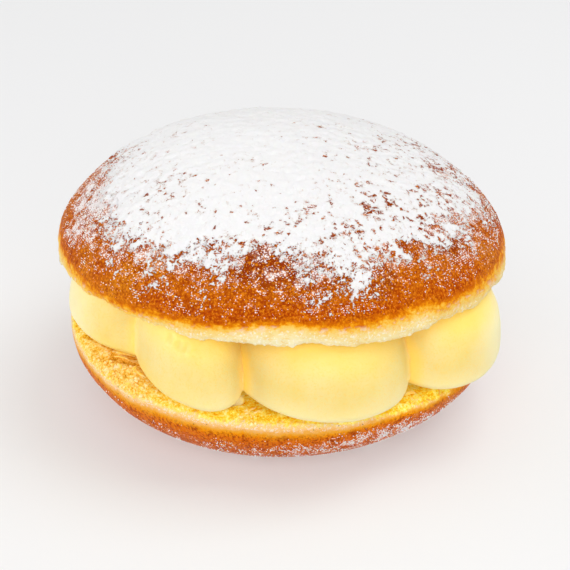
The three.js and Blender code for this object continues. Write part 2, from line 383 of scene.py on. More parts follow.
def top_half():
    noise = Noise(11)
    radius, height, angle, quads, last_ring = dome_surface()

    # The outline, and the torn edge that hangs lower in places.
    around = TOP_RADIUS * np.stack([np.cos(angle), np.sin(angle), 0 * angle], -1)
    edge = smoothstep(radius, TOP_LIP_RADIUS, TOP_CUT_RADIUS) * (1 - smoothstep(height, 0.5, 5))
    ragged = 0.9 * noise.rough(around, 3.4, 4, 0.6) + 0.6 * noise.rough(around + 8, 1.2, 3, 0.7)
    drop = edge * (changed(angle, TORN_DROPS) + waves(angle, TOP_EDGE_WAVES) + ragged)
    reach = radius + (radius / TOP_RADIUS) ** 3 * waves(angle, TOP_OUTLINE_WAVES)
    points = np.stack([reach * np.cos(angle), reach * np.sin(angle), height - drop], -1)
    normal = normals_of(points, quads)

    # How far each place is above the start of the browning, and how its crust looks there.
    above = points[:, 2] - BROWN_HEIGHT - changed(angle, BROWN_HEIGHT_CHANGES)
    above += 0.6 * noise.rough(points + 13, 4.5, 4, 0.6) - waves(angle, BROWN_HEIGHT_WAVES)
    clump = noise.cells(points * [1, 1, 1.3] + 0.7 * noise.rough(points + 57, 2.0, 2)[:, None], 2.2)
    cover, gaps, inside = sugar_cover(points, radius, angle, clump, noise)
    cover = np.where(above > 1.5, cover, -9)
    streaks = noise.rough(points * [1.6, 0.8, 0.8] + 17, 5.5, 4, 0.62)
    drifts = changed(angle, DUST_DRIFTS) * smoothstep(inside, -15, -5) * smoothstep(above, 1.0, 3.0)
    dust = np.clip(np.interp(above, *DUST_BY_HEIGHT) + drifts * (0.75 + 2.5 * streaks), -2, 3)
    scorch = spots(points, CRUST_SPOTS) + noise.rough(points + 45, 9, 2)
    scorch += 0.35 * smoothstep(inside, -8, 1) + 0.9 * smoothstep(inside, 0, 6)
    underside = (1 - smoothstep(radius, 46.4, 48.4)) * (height < 0.05)

    # Uneven dough, fibres in the torn edge, and sugar lying on the dome in clumps.
    dough = 0.42 * noise.rough(points, 15, 2) + 0.13 * noise.rough(points + 7, 4.5, 3)
    dough += changed(angle, TOP_DENTS) * smoothstep(radius, 20, 45)
    collar = 1 - smoothstep(above, -1.5, 0.2)
    fibres = 0.42 * collar * noise.rough(points * [1, 1, 2.2] + 5, 2.0, 4, 0.6)
    pits = 0.2 * (1 - collar) * noise.rough(points + 29, 1.3, 3, 0.6)
    layer = smoothstep(cover, -0.5, 1.0) * (0.28 + 0.3 * (1 - smoothstep(clump, 0.1, 0.8)))
    layer += 0.04 * np.clip(cover, 0, 3)
    outside = (height > 0.05) | (radius > TOP_LIP_RADIUS)
    rise = np.where(outside, dough + fibres + pits + layer, 0) * smoothstep(radius, 0, 0.1)
    points += rise[:, None] * normal

    above = np.where(above < 0, above * (PALING + changed(angle, PALING_CHANGES)), above)
    placed = points @ turn_matrix(TOP_PLACE).T + [TOP_PLACE["x"], 0, TOP_PLACE["z"]]
    faces = quads.tolist() + fan(last_ring, len(points) - 1).tolist()
    piece = make_mesh("sugared_top", placed, faces, "crust_sugared", cover=cover, gaps=gaps,
                      above=above, dust=dust, scorch=scorch, underside=underside)
    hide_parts("top_half")
    return piece


# ---- bottom half ----
BOWL_STEPS = 900
CRUMB_EDGE = 46.6  # radius where the collar turns into the open crumb
FOOT_RADII = [6, 16, 24, 28, FOOT_RADIUS]
FOOT_DEPTH = 40.0  # counts as far below the rim
WALL_ROWS = 53
COLLAR_ROWS = 9
CRUMB_RADII = [*np.linspace(CRUMB_EDGE, 35, 34)[1:], 30, 20, 8]
# Where the wall browns nearer to the rim: angle, spread, change.
BROWN_FALL_CHANGES = [(-58, 13, 1.4), (-34, 13, 2.0), (-140, 24, -1.2), (20, 18, 0.9), (95, 25, 0.8)]
# Where the wall browns more sharply about a depth of the rim's rounding, in the same way.
BROWN_SHARPENING = [(-60, 15, 0.9), (40, 30, 0.5)]
# Sugar that clings to the wall, in spreads of its grain: by depth below the rim, then changes.
FROST_BY_DEPTH = ([2.5, 4.5, 6.0, 9.0], [-2.8, -2.0, -0.6, 0.3])
FROST_CHANGES = [(-57, 24, 0.6), (-135, 26, -0.8), (-5, 20, 0.6), (50, 30, 0.8), (120, 30, -0.2)]
TOASTED_SIDE = (-142, 24)  # angle and spread of the browner crumb
# Pores and creases in the torn crumb: angle, radius, size, depth.
CRUMB_PORES = [
    (-158.3, 45.4, 0.8, 1.0), (-153.4, 43.7, 0.7, 0.9), (-149.0, 42.8, 0.8, 1.0),
    (-135.1, 46.2, 0.6, 0.8), (-145.6, 44.0, 1.0, 1.0), (-143.1, 43.0, 1.0, 1.0),
    (-140.6, 42.1, 1.0, 1.0), (-98.4, 40.2, 0.5, 1.2), (-104.1, 43.9, 0.4, 1.2),
    (-45.9, 44.8, 0.6, 0.9), (-40.8, 46.2, 0.6, 0.9), (-49.5, 43.0, 0.6, 0.8), (24, 45.0, 0.8, 1.0),
    (63, 44.4, 0.8, 1.0), (68, 45.6, 0.6, 0.9), (112, 45.0, 0.9, 1.0), (166, 45.2, 0.8, 1.0),
]


def bowl_radius(height):
    return BOWL_WIDEST_RADIUS * np.sqrt(1 - ((BOWL_WIDEST_HEIGHT - height) / BOWL_DEPTH) ** 2)


def bowl_surface():
    """The smooth bottom half: rings from the foot up the wall, round the collar and in across the
    crumb, then the middles of foot and crumb. Gives each point's radius, height, distance below
    the rim (under 0 it is in across the crumb) and angle."""
    angle = np.linspace(0, TAU, BOWL_STEPS, endpoint=False)

    def crumb_height(radius):
        return plane_height(BOWL_PLACE, radius * np.cos(angle), radius * np.sin(angle))

    wall_top = crumb_height(CRUMB_EDGE) - COLLAR_ROUNDING
    rings = [(radius, 0, FOOT_DEPTH) for radius in FOOT_RADII]
    for level in np.linspace(0, 1, WALL_ROWS + 1)[1:] ** 0.8:
        height = level * wall_top
        rings.append((bowl_radius(height), height, (1 - level) * wall_top + COLLAR_ROUNDING))
    for turn in np.linspace(0, math.pi / 2, COLLAR_ROWS + 1)[1:]:
        radius = CRUMB_EDGE + (bowl_radius(wall_top) - CRUMB_EDGE) * math.cos(turn)
        lift = COLLAR_ROUNDING * math.sin(turn)
        rings.append((radius, wall_top + lift, COLLAR_ROUNDING - lift))
    rings += [(radius, crumb_height(radius), radius - CRUMB_EDGE) for radius in CRUMB_RADII]
    middles = [(0, 0), (0, BOWL_PLACE["z"]), (FOOT_DEPTH, -CRUMB_EDGE), (0, 0)]
    columns = [np.array([ring[i] + 0 * angle for ring in rings]) for i in range(3)]
    columns.append(np.tile(angle, len(rings)))
    return [np.append(column, ends) for column, ends in zip(columns, middles)]


def bottom_half():
    noise = Noise(23)
    radius, height, below, angle = bowl_surface()
    is_wall = below >= 0
    grown = radius + (radius / BOWL_WIDEST_RADIUS) ** 3 * waves(angle, BOWL_OUTLINE_WAVES)
    points = np.stack([BOWL_PLACE["x"] + grown * np.cos(angle), grown * np.sin(angle), height], -1)
    rows = len(points) // BOWL_STEPS
    quads = ring_faces(rows, BOWL_STEPS)
    normal = normals_of(points, quads)

    # Distance below the rim as the browning sees it, and as the edge of the open crumb does.
    browning = changed(angle, BROWN_FALL_CHANGES)
    below = below + 0.8 * noise.rough(points + 3, 7, 3)
    crumb_edge = below + np.minimum(browning, 0)
    below += browning
    below += (below - COLLAR_ROUNDING) * changed(angle, BROWN_SHARPENING)

    # Torn crumb with pores and flaps. What the cream stands on stays flat.
    showing = smoothstep(radius, 40.5, 43.5) * (radius < CRUMB_EDGE + 0.5)
    torn = noise.rough(points + 11, 1.9, 4, 0.68)
    pores = 1 - smoothstep(noise.cells(points * [1, 1, 0.6], 1.9), 0.15, 0.55)
    coarse = smoothstep(noise.rough(points + 41, 5, 2), -0.3, 0.4)
    holes = 0.5 * pores * coarse + spots(points, CRUMB_PORES)
    flaps = sum(rise * bump_round(angle, middle, math.degrees(length / reach / 2))
                * np.exp(-((radius - reach) / width) ** 2)
                for middle, reach, length, width, rise in CRUMB_FLAPS)
    crumb = showing * (0.7 * torn + 0.45 - 0.6 * holes + flaps)
    is_open = smoothstep(1.6 * torn + 0.9 - crumb_edge, 0.0, 0.8)

    # Uneven dough outside, with sugar clinging to it.
    dough = 0.35 * noise.rough(points, 13, 2) + 0.12 * noise.rough(points + 9, 3.2, 5, 0.65)
    sugar = np.interp(below, *FROST_BY_DEPTH) + changed(angle, FROST_CHANGES)
    sugar += 7 / 3 * noise.rough(points + 77, 3.0, 4, 0.7)
    wall = smoothstep(points[:, 2], 0.0, 2.0) * smoothstep(radius, 42, 46)
    near_crumb = showing * (1 - smoothstep(below, -0.6, 1.2))
    outside = wall * (dough + 0.06 * smoothstep(sugar, 0.0, 1.5)) + 0.5 * near_crumb * torn
    points += np.where(is_wall, outside, crumb)[:, None] * normal
    points[:, 2] = np.maximum(points[:, 2], 0)

    ring, count = np.arange(BOWL_STEPS), len(points)
    foot = fan(ring, count - 2)
    middle = fan(ring + (rows - 1) * BOWL_STEPS, count - 1)[:, ::-1]
    faces = quads.tolist() + foot.tolist() + middle.tolist()
    # The lump field also sets the crumb's colour: painted shade in its pores, painted light on its
    # lumps.
    piece = make_mesh("crumb_bottom", points, faces, "crust_and_crumb", below=below, open=is_open,
                      lump=4.0 * torn - 2.0 * holes, frost=sugar,
                      toast=bump_round(angle, *TOASTED_SIDE))
    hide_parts("bottom_half")
    return piece


# ---- cream ----
CREASE_SMOOTHING = 12  # rounds of smoothing where two dollops meet
# Of two dollops that meet, the one with the higher number lies in front of the other.
DOLLOP_FRONTS = [2, 3, 1, 1, 0, 1, 0]
DOLLOP_STEPS = 160
DOLLOP_ROWS = 36  # on each side of the widest one
CORE_STEPS = 90


def cream_room(x, y):
    """Heights of the cream's flat bottom and top there, clear of the two halves."""
    return plane_height(BOWL_PLACE, x, y) + GAP, plane_height(TOP_PLACE, x, y) - GAP


def between(x, y, level):
    low, high = cream_room(x, y)
    return low + np.clip(level, 0, 1) * (high - low)


def dollop_shell(x, y, long, wide, turn, top=DOLLOP_TOP_LEVEL):
    """Points and quads of one squashed ball, cut flat at the crumb and at the top half."""
    row = np.linspace(-1, 1, 2 * DOLLOP_ROWS + 1)[1:-1, None]
    lift = np.abs(np.sin(row * math.pi / 2)) ** (2 / DOLLOP_POWER)
    widest = DOLLOP_WIDEST_LEVEL * top / DOLLOP_TOP_LEVEL
    level = widest + lift * (np.where(row < 0, DOLLOP_BOTTOM_LEVEL, top) - widest)
    share = np.cos(row * math.pi / 2) ** (2 / DOLLOP_POWER)
    angle = np.linspace(0, TAU, DOLLOP_STEPS, endpoint=False)[None]
    along, across = long * share * np.cos(angle), wide * share * np.sin(angle)
    facing = math.radians(turn)
    px = x + along * math.cos(facing) - across * math.sin(facing)
    py = y + along * math.sin(facing) + across * math.cos(facing)
    points = np.stack([px, py, between(px, py, level + 0 * px)], -1).reshape(-1, 3)
    return points, *closed_rings(len(row), DOLLOP_STEPS)


def core_shell():
    angle = np.linspace(0, TAU, CORE_STEPS, endpoint=False)
    x, y = CREAM_CORE_RADIUS * np.cos(angle), CREAM_CORE_RADIUS * np.sin(angle)
    points = np.concatenate([np.stack([x, y, between(x, y, level)], -1) for level in (0, 1)])
    return points, *closed_rings(2, CORE_STEPS)


def closed_rings(rows, steps):
    """Quads between rings of points, and the two many-sided ends."""
    last = (rows - 1) * steps
    return ring_faces(rows, steps), [list(range(steps))[::-1], list(range(last, last + steps))]


def dollop_swell(points, quads, noise):
    """The points with the unevenness of the piping, clear of the two flat faces."""
    low, high = cream_room(points[:, 0], points[:, 1])
    clear = smoothstep(points[:, 2], low, low + 2) * (1 - smoothstep(points[:, 2], high - 2, high))
    swell = 0.30 * noise.rough(points, 11, 2) + 0.10 * noise.rough(points + 5, 2.6, 3)
    for x, y, z, size, rise in CREAM_MARKS:
        swell += rise * np.exp(-(np.linalg.norm(points - [x, y, z], axis=1) / size) ** 2)
    return points + (clear * swell)[:, None] * normals_of(points, quads)


def joined(shells):
    """Points and triangles of the one skin round overlapping closed shells."""
    group = bpy.data.collections.new("shells")
    blanks = []
    for points, quads, ends in shells:
        mesh = bpy.data.meshes.new("shell")
        mesh.from_pydata((points * MM).tolist(), [], quads.tolist() + ends)
        blanks.append(bpy.data.objects.new("shell", mesh))
    bpy.context.scene.collection.objects.link(blanks[0])
    for blank in blanks[1:]:
        group.objects.link(blank)
    join = blanks[0].modifiers.new("join", "BOOLEAN")
    join.operation, join.operand_type, join.solver = "UNION", "COLLECTION", "MANIFOLD"
    join.collection = group
    skin = blanks[0].evaluated_get(bpy.context.evaluated_depsgraph_get()).to_mesh()
    skin.calc_loop_triangles()
    points = np.empty(len(skin.vertices) * 3)
    skin.vertices.foreach_get("co", points)
    corners = np.empty(len(skin.loop_triangles) * 3, dtype=np.int32)
    skin.loop_triangles.foreach_get("vertices", corners)
    for blank in blanks:
        bpy.data.objects.remove(blank)
    bpy.data.collections.remove(group)
    return points.reshape(-1, 3) / MM, corners.reshape(-1, 3)


def smoothed(points, faces, share, rounds):
    """Points moved by that share towards the middle of their neighbours, each round."""
    start, end = faces[:, [0, 1, 2, 1, 2, 0]].ravel(), faces[:, [1, 2, 0, 0, 1, 2]].ravel()
    count = np.bincount(start, minlength=len(points))[:, None]
    for _ in range(rounds):
        total = np.stack([np.bincount(start, points[end, axis], len(points)) for axis in range(3)], -1)
        points = points + share[:, None] * (total / count - points)
    return points


def dollop_reach(points):
    """How far out each point is in each dollop seen from above: 1 at the dollop's widest."""
    reach = []
    for x, y, long, wide, turn in DOLLOPS:
        facing = math.radians(turn)
        dx, dy = points[:, 0] - x, points[:, 1] - y
        along = dx * math.cos(facing) + dy * math.sin(facing)
        across = dy * math.cos(facing) - dx * math.sin(facing)
        reach.append(np.hypot(along / long, across / wide))
    return np.array(reach)


def cream_filling():
    noise = Noise(37)
    shells = [core_shell()]
    for dollop in DOLLOPS + CREAM_SMEARS:
        points, quads, ends = dollop_shell(*dollop)
        shells.append((dollop_swell(points, quads, noise), quads, ends))
    points, faces = joined(shells)
    first, second = np.sort(dollop_reach(points), axis=0)[:2]
    crease = 1 - smoothstep(second - first, 0.02, 0.1)
    points = smoothed(points, faces, 0.6 * crease, CREASE_SMOOTHING)
    low, high = cream_room(points[:, 0], points[:, 1])
    points[:, 2] = np.clip(points[:, 2], low, high)

    # Painted shade: a deeper yellow where a dollop tucks in behind the next one and under the top half,
    # and at the foot of the left ones. Painted light: paler at the foot of the others and furthest out
    # at both sides, and a painted glow in the creases and under the top half.
    reach = dollop_reach(points)
    order = np.argsort(reach, axis=0)[:2]
    first, second = np.take_along_axis(reach, order, axis=0)
    apart = second - first
    fronts = np.array(DOLLOP_FRONTS)[order]
    behind = np.where(fronts[0] < fronts[1], 1.0, 0.12)
    share = (points[:, 2] - low) / (high - low)
    foot = 1 - smoothstep(share, 0.0, 0.5)
    outer = smoothstep(abs(points[:, 0]), 39, 47)
    left = (1 - smoothstep(points[:, 0], -30, -10)) * (1 - outer)
    tuck = np.maximum.reduce([
        behind * (1 - smoothstep(apart, 0.0, 0.24)),
        0.9 * smoothstep(share, 0.6, 1.0),
        0.55 * foot * left,
    ])
    hidden = np.maximum(1 - smoothstep(apart, 0.0, 0.26), smoothstep(share, 0.5, 1.0))
    piece = make_mesh("piped_cream", points, faces.tolist(), "custard_cream",
                      tuck=tuck, hidden=hidden, pale=np.maximum(foot * (1 - left), outer))
    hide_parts("cream_filling")
    return piece


# ---- loose sugar, crumbs and strands ----
TOP_GRAINS = 3500
BOTTOM_GRAINS = 6000
GRAIN_SIZES = (0.08, 0.2)
CRUMBS = 900
CRUMB_SIZES = (0.25, 0.8)
# Strands of crumb torn loose: x, y at both ends, width, thickness and rise in the middle.
TORN_STRANDS = [
    (-38.3, -22.4, -31.9, -23.9, 1.5, 0.6, 0.5), (-36.9, -24.2, -33.4, -25.4, 0.7, 0.4, 0.3),
    (-33.3, -29.5, -29.4, -32.5, 0.9, 0.4, 0.5), (-8.7, -46.6, -5.5, -42.0, 0.5, 0.4, 0.3),
    (-7.6, -46.3, -4.2, -43.2, 0.4, 0.3, 0.3), (26.0, -34.4, 28.6, -33.2, 0.9, 0.4, 0.4),
    (31.0, -31.4, 33.0, -30.2, 0.8, 0.4, 0.4), (38.0, 23.5, 41.5, 19.8, 0.9, 0.4, 0.5),
    (17.5, 41.5, 21.8, 40.4, 0.8, 0.4, 0.4), (-14.5, 43.0, -19.6, 41.4, 0.9, 0.4, 0.5),
    (-43.5, 12.0, -42.6, 16.4, 0.8, 0.4, 0.4),
]
STRAND_LIFT = 0.45  # of a strand's ends over the crumb
STRAND_SIDES = 8
STRAND_ROWS = 15


def surface(piece, *fields):
    """Points and normals of a piece in millimetres, and its fields."""
    mesh = piece.data
    points, normals = np.empty((2, len(mesh.vertices) * 3))
    mesh.vertices.foreach_get("co", points)
    mesh.vertex_normals.foreach_get("vector", normals)
    values = np.empty((len(fields), len(mesh.vertices)))
    for field, value in zip(fields, values):
        mesh.attributes[field].data.foreach_get("value", value)
    return points.reshape(-1, 3) / MM, normals.reshape(-1, 3), *values


def lumps(places, normals, sizes, draw):
    """Points and triangles of uneven eight-sided lumps that lie half sunk in a surface."""
    corners = np.array([(1, 0, 0), (0, 1, 0), (-1, 0, 0), (0, -1, 0), (0, 0, 1), (0, 0, -1)])
    upper = [(i, (i + 1) % 4, 4) for i in range(4)]
    lower = [((i + 1) % 4, i, 5) for i in range(4)]
    count = len(places)
    turned = np.linalg.qr(draw.normal(size=(count, 3, 3)))[0]
    turned *= np.sign(np.linalg.det(turned))[:, None, None]
    shape = corners * draw.uniform(0.6, 1.2, (count, 6, 1)) * sizes[:, None, None]
    points = places[:, None] + shape @ turned + 0.3 * (sizes[:, None] * normals)[:, None]
    faces = np.array(upper + lower) + 6 * np.arange(count)[:, None, None]
    return points.reshape(-1, 3), faces.reshape(-1, 3)


def scattered(weight, count, draw):
    """Which points are picked when that many are drawn by weight."""
    return draw.choice(len(weight), count, p=weight / weight.sum())


def sugar_grains(top, bottom):
    draw = np.random.RandomState(5)
    points, normals, cover, above, dust = surface(top, "cover", "above", "dust")
    group = smoothstep(Noise(41).rough(points, 4, 3), 0.0, 0.35)
    loose = np.exp(-((cover + 1.6) / 1.2) ** 2) + 0.02 + 0.15 * np.clip(dust, 0, 2)
    picked = scattered((above > 1.0) * (cover < 0.5) * loose * (0.08 + group), TOP_GRAINS, draw)
    places, ways = points[picked], normals[picked]
    points, normals, below, frost = surface(bottom, "below", "frost")
    group = smoothstep(Noise(42).rough(points, 4, 3), -0.2, 0.35)
    on_wall = smoothstep(below, 2.5, 5.5) * (points[:, 2] > 0.6) * (below < 30)
    picked = scattered(on_wall * (0.15 + group) * np.exp(1.2 * frost), BOTTOM_GRAINS, draw)
    places, ways = np.vstack([places, points[picked]]), np.vstack([ways, normals[picked]])
    sizes = draw.uniform(*GRAIN_SIZES, len(places))
    piece = make_mesh("sugar_grains", *lumps(places, ways, sizes, draw), "crust_sugared")
    piece.data.shade_flat()
    return piece


def torn_strand(noise, x0, y0, x1, y1, width, thick, rise):
    """Points and triangles of one strand, thin at both ends and arched over the crumb."""
    share = np.linspace(0, 1, STRAND_ROWS)[:, None]
    turn = np.linspace(0, TAU, STRAND_SIDES, endpoint=False)[None]
    arch = np.sin(share * math.pi)
    taper = 0.5 * (arch ** 0.5 + 0.02)
    across = width * taper * np.cos(turn) / math.hypot(x1 - x0, y1 - y0)
    x = x0 + share * (x1 - x0) + across * (y0 - y1)
    y = y0 + share * (y1 - y0) + across * (x1 - x0)
    lift = STRAND_LIFT + rise * arch + thick * taper * np.sin(turn)
    points = np.stack([x, y, plane_height(BOWL_PLACE, x, y) + lift], -1).reshape(-1, 3)
    points += 0.3 * np.stack([noise.rough(points + shift, 1.4, 3) for shift in (0, 30, 60)], -1)
    quads, caps = closed_rings(STRAND_ROWS, STRAND_SIDES)
    caps = [(cap[0], *cap[i:i + 2]) for cap in caps for i in range(1, STRAND_SIDES - 1)]
    return points, np.vstack([quads[:, [0, 1, 2]], quads[:, [0, 2, 3]], caps])


def crumbs_and_strands(bottom):
    draw = np.random.RandomState(6)
    points, normals, is_open = surface(bottom, "open")
    clear = dollop_reach(points).min(axis=0) > 1.03
    reach = np.hypot(points[:, 0], points[:, 1])
    picked = scattered((is_open > 0.4) * clear * (reach > 38), CRUMBS, draw)
    sizes = draw.uniform(*CRUMB_SIZES, CRUMBS) * draw.uniform(0.4, 1, CRUMBS)
    points, faces = lumps(points[picked], normals[picked], sizes, draw)
    noise = Noise(43)
    for strand in TORN_STRANDS:
        strand_points, strand_faces = torn_strand(noise, *strand)
        faces = np.vstack([faces, strand_faces + len(points)])
        points = np.vstack([points, strand_points])
    return make_mesh("loose_crumb", points, faces, "crust_and_crumb")


# ---- materials ----
def color(code):
    """A colour written as #RRGGBB, as the linear values that shaders take."""
    parts = [int(code[i:i + 2], 16) / 255 for i in (1, 3, 5)]
    return [c / 12.92 if c <= 0.04045 else ((c + 0.055) / 1.055) ** 2.4 for c in parts] + [1.0]


class Shader:
    """A node material put together by short calls. Sizes are in millimetres."""

    def __init__(self, name, **settings):
        self.material = bpy.data.materials.new(name)
        self.material.use_nodes = True
        self.nodes, self.links = self.material.node_tree.nodes, self.material.node_tree.links
        self.surface = self.nodes["Principled BSDF"]
        self.place = self.node("TexCoord").outputs["Object"]
        for name, value in settings.items():
            self.set(name.replace("_", " "), value)

    def feed(self, socket, value):
        if isinstance(value, bpy.types.NodeSocket):
            self.links.new(value, socket)
        else:
            socket.default_value = value

    def set(self, name, value):
        self.feed(self.surface.inputs[name], value)

    def node(self, kind, **inputs):
        node = self.nodes.new("ShaderNode" + kind)
        for name, value in inputs.items():
            self.feed(node.inputs[name.replace("_", " ")], value)
        return node

    def field(self, name):
        node = self.node("Attribute")
        node.attribute_name = name
        return node.outputs["Fac"]

    def stretched(self, x, y, z):
        return self.node("Mapping", Vector=self.place, Scale=(x, y, z)).outputs[0]

    def noise(self, size, detail=3.0, rough=0.55, at=None):
        """Noise from 0 to 1, mostly near 0.5, with bumps of about that size."""
        return self.node("TexNoise", Vector=at or self.place, Scale=1 / (size * MM), Detail=detail,
                         Roughness=rough).outputs["Fac"]

    def even(self, size, spread, detail, rough, at=None):
        """Noise about 0 with a spread of 1, where Blender's has that spread."""
        return self.times(self.add(self.noise(size, detail, rough, at), -0.5), 1 / spread)

    def cells(self, size):
        """Distance to the nearest of scattered points, in cells of that size."""
        return self.node("TexVoronoi", Vector=self.place, Scale=1 / (size * MM)).outputs["Distance"]

    def math(self, operation, first, second):
        node = self.node("Math")
        node.operation = operation
        self.feed(node.inputs[0], first)
        self.feed(node.inputs[1], second)
        return node.outputs[0]

    def add(self, first, second):
        return self.math("ADD", first, second)

    def times(self, first, second):
        return self.math("MULTIPLY", first, second)

    def step(self, value, low, high):
        """0 below low, 1 above high, smooth between."""
        node = self.node("MapRange", Value=value, From_Min=low, From_Max=high)
        node.interpolation_type = "SMOOTHSTEP"
        return node.outputs[0]

    def mix(self, share, first, second):
        node = self.node("Mix")
        node.data_type = "RGBA"
        for index, value in ((0, share), (6, first), (7, second)):
            self.feed(node.inputs[index], value)
        return node.outputs[2]

    def tinted(self, base, code, share, strength):
        """The base colour, mixed with the colour of that code by share and strength."""
        return self.mix(self.times(share, strength), base, color(code))

    def mottled(self, base, where, *rows):
        """The base colour with others over it there. A row has a value, what it is where the
        colour starts and where it is full, a strength and the colour's code."""
        for value, start, full, strength, code in rows:
            share = self.times(self.step(value, start, full), strength)
            base = self.tinted(base, code, share, where)
        return base

    def ramp(self, value, *stops):
        node = self.node("ValToRGB", Fac=value)
        elements = node.color_ramp.elements
        for index, (at, code) in enumerate(stops):
            element = elements[index] if index < 2 else elements.new(at)
            element.position, element.color = at, color(code)
        return node.outputs["Color"]

    def bump(self, height, depth, **under):
        """Bumps of that depth for a height from 0 to 1, on top of those under them."""
        return self.node("Bump", Height=height, Distance=depth * MM, **under).outputs[0]


FOOD_GLOW = 0.15  # painted light: a faint glow that stands in for light come through the cream and the crumb to places in shade
DOUGH = dict(Subsurface_Scale=0.002, Subsurface_Radius=(1.0, 0.5, 0.2), Specular_IOR_Level=0.03)
BLACK = color("#000000")
WHITE = color("#FFFFFF")
SUGAR_WHITE = color("#EFEEEE")
FILM_WHITE = color("#F1E8E6")
# Crust from the pale cut edge up: height in mm over the place where it turns brown, colour.
CRUST_COLOURS = [
    (-4.6, "#F8ECBE"), (-3.2, "#F8E6AC"), (-1.9, "#F8DA8C"), (-1.1, "#F8C048"), (-0.5, "#F0A014"),
    (0.0, "#DE7C00"), (0.6, "#C86000"), (1.6, "#BA4C00"), (3.2, "#BA5200"), (6.0, "#BE5E02"),
    (9.0, "#AE5204"),
]
# Wall of the bottom half from its rim down: depth in mm, colour.
WALL_COLOURS = [
    (-0.6, "#FFE070"), (0.2, "#FFE686"), (0.9, "#FFD88A"), (1.5, "#FFC87C"), (2.0, "#FAB85E"),
    (2.7, "#F8AE34"), (3.7, "#FA9C00"), (4.8, "#E67200"), (8.5, "#DA6200"),
]
# Crumb from its pores to its lumps: painted shade in the pores and painted light on the lumps.
CRUMB_COLOURS = [
    (-3.0, "#D88C00"), (-1.4, "#F8BC10"), (-0.2, "#FFDC40"), (0.8, "#FFE668"), (2.4, "#FFF2A4"),
]
# Browner crumb, likewise with painted shade in the pores and painted light on the lumps.
TOASTED_COLOURS = [
    (-3.0, "#C08014"), (-1.4, "#ECAA34"), (-0.2, "#FACA5C"), (0.8, "#FFD988"), (2.4, "#FFECC0"),
]


def by_height(shader, height, rows):
    """The colours of those rows, each at its height."""
    first, last = rows[0][0], rows[-1][0]
    share = shader.times(shader.add(height, -first), 1 / (last - first))
    return shader.ramp(share, *[((at - first) / (last - first), code) for at, code in rows])


def browned(shader, base, brown, at=None):
    """The base colour, finely varied where the crust is browned."""
    small = shader.even(2.2, 0.063, 4, 0.65, at)
    fine = shader.even(0.5, 0.060, 2, 0.6, at)
    return shader.mottled(
        base, brown,
        (small, 0.2, 2.4, 0.6, "#DA780A"), (small, -0.2, -2.4, 0.6, "#9A3400"),
        (fine, 0.3, 2.2, 0.75, "#E68814"), (fine, -0.3, -2.2, 0.7, "#963000"))


def filmed(shader, base, amount, where, haziness, at=None):
    """Icing sugar on the crust, in spreads of its grain: some specks where the amount is 0, a thin
    haze and half covered where it is 2."""
    grain = shader.times(shader.even(0.36, 0.074, 1, 0.5, at), 0.85)
    group = shader.add(shader.times(shader.even(2.2, 0.066, 3, 0.6, at), 0.55), amount)
    haze = shader.times(shader.step(group, 0.3, 3.4), haziness)
    specks = shader.step(shader.add(grain, group), 1.7, 2.5)
    for film in (haze, specks):
        base = shader.mix(shader.times(film, where), base, FILM_WHITE)
    return base


def top_material():
    s = Shader("sugared_crust", Subsurface_Weight=0.05, **DOUGH)
    above, cover, gaps, dust, scorch, underside = (
        s.field(name) for name in ("above", "cover", "gaps", "dust", "scorch", "underside"))
    fibre = s.even(2.2, 0.063, 4, 0.65, s.stretched(1.0, 1.0, 1.6))
    edge = s.add(s.times(s.even(0.8, 0.052, 4, 0.7), 0.12), s.times(fibre, 0.28))
    crust = by_height(s, s.add(above, edge), CRUST_COLOURS)

    # The torn edge: pale and deeper fibres, and light flecks low down.
    crust = s.mottled(crust, s.step(above, -0.2, -1.0),
                      (fibre, 0.2, 2.2, 0.5, "#FBF2D4"), (fibre, -0.2, -2.2, 0.5, "#F4C654"))
    crust = s.mottled(crust, s.step(above, -1.0, -2.2),
                      (s.even(0.5, 0.074, 1, 0.5), 0.9, 2.2, 0.7, "#FFF8E6"))

    # The browned crust: scorched and golden places, mottling and thin dust.
    brown = s.step(above, 0.0, 1.0)
    crust = s.mottled(crust, brown,
                      (scorch, 0.1, 1.0, 0.75, "#701F04"), (scorch, -0.1, -1.0, 0.6, "#D88A14"))
    crust = browned(s, crust, brown)
    crust = filmed(s, crust, dust, brown, 0.38)

    # The white, with its gaps, the thin sugar round them and its crumbling edge.
    thinning = s.add(s.even(1.5, 0.066, 3, 0.65), gaps)
    opening = s.step(thinning, 2.45, 2.85)
    flakes = s.times(s.add(s.cells(1.1), -0.45), -1.8)
    crumbling = s.add(s.times(s.even(0.45, 0.074, 1, 0.5), 0.45), flakes)
    white = s.step(s.add(s.add(cover, crumbling), s.times(opening, -6.0)), -0.35, 0.35)
    sugar = s.tinted(SUGAR_WHITE, "#C9B4A6", s.step(thinning, 1.2, 2.6), 0.35)
    paint = s.mix(white, crust, sugar)

    crumb = s.ramp(s.noise(1.2, 4, 0.6), (0.30, "#E9B84A"), (0.50, "#F6D77E"), (0.70, "#FCEBB0"))
    s.set("Base Color", s.mix(underside, paint, crumb))
    s.set("Roughness", s.add(s.times(white, 0.45), 0.42))
    fine = s.bump(s.noise(0.55, 4, 0.75), 0.22)
    powder = s.bump(s.times(s.noise(0.7, 4, 0.75), white), 0.16, Normal=fine)
    s.set("Normal", s.bump(white, 0.04, Normal=powder))
    return s.material


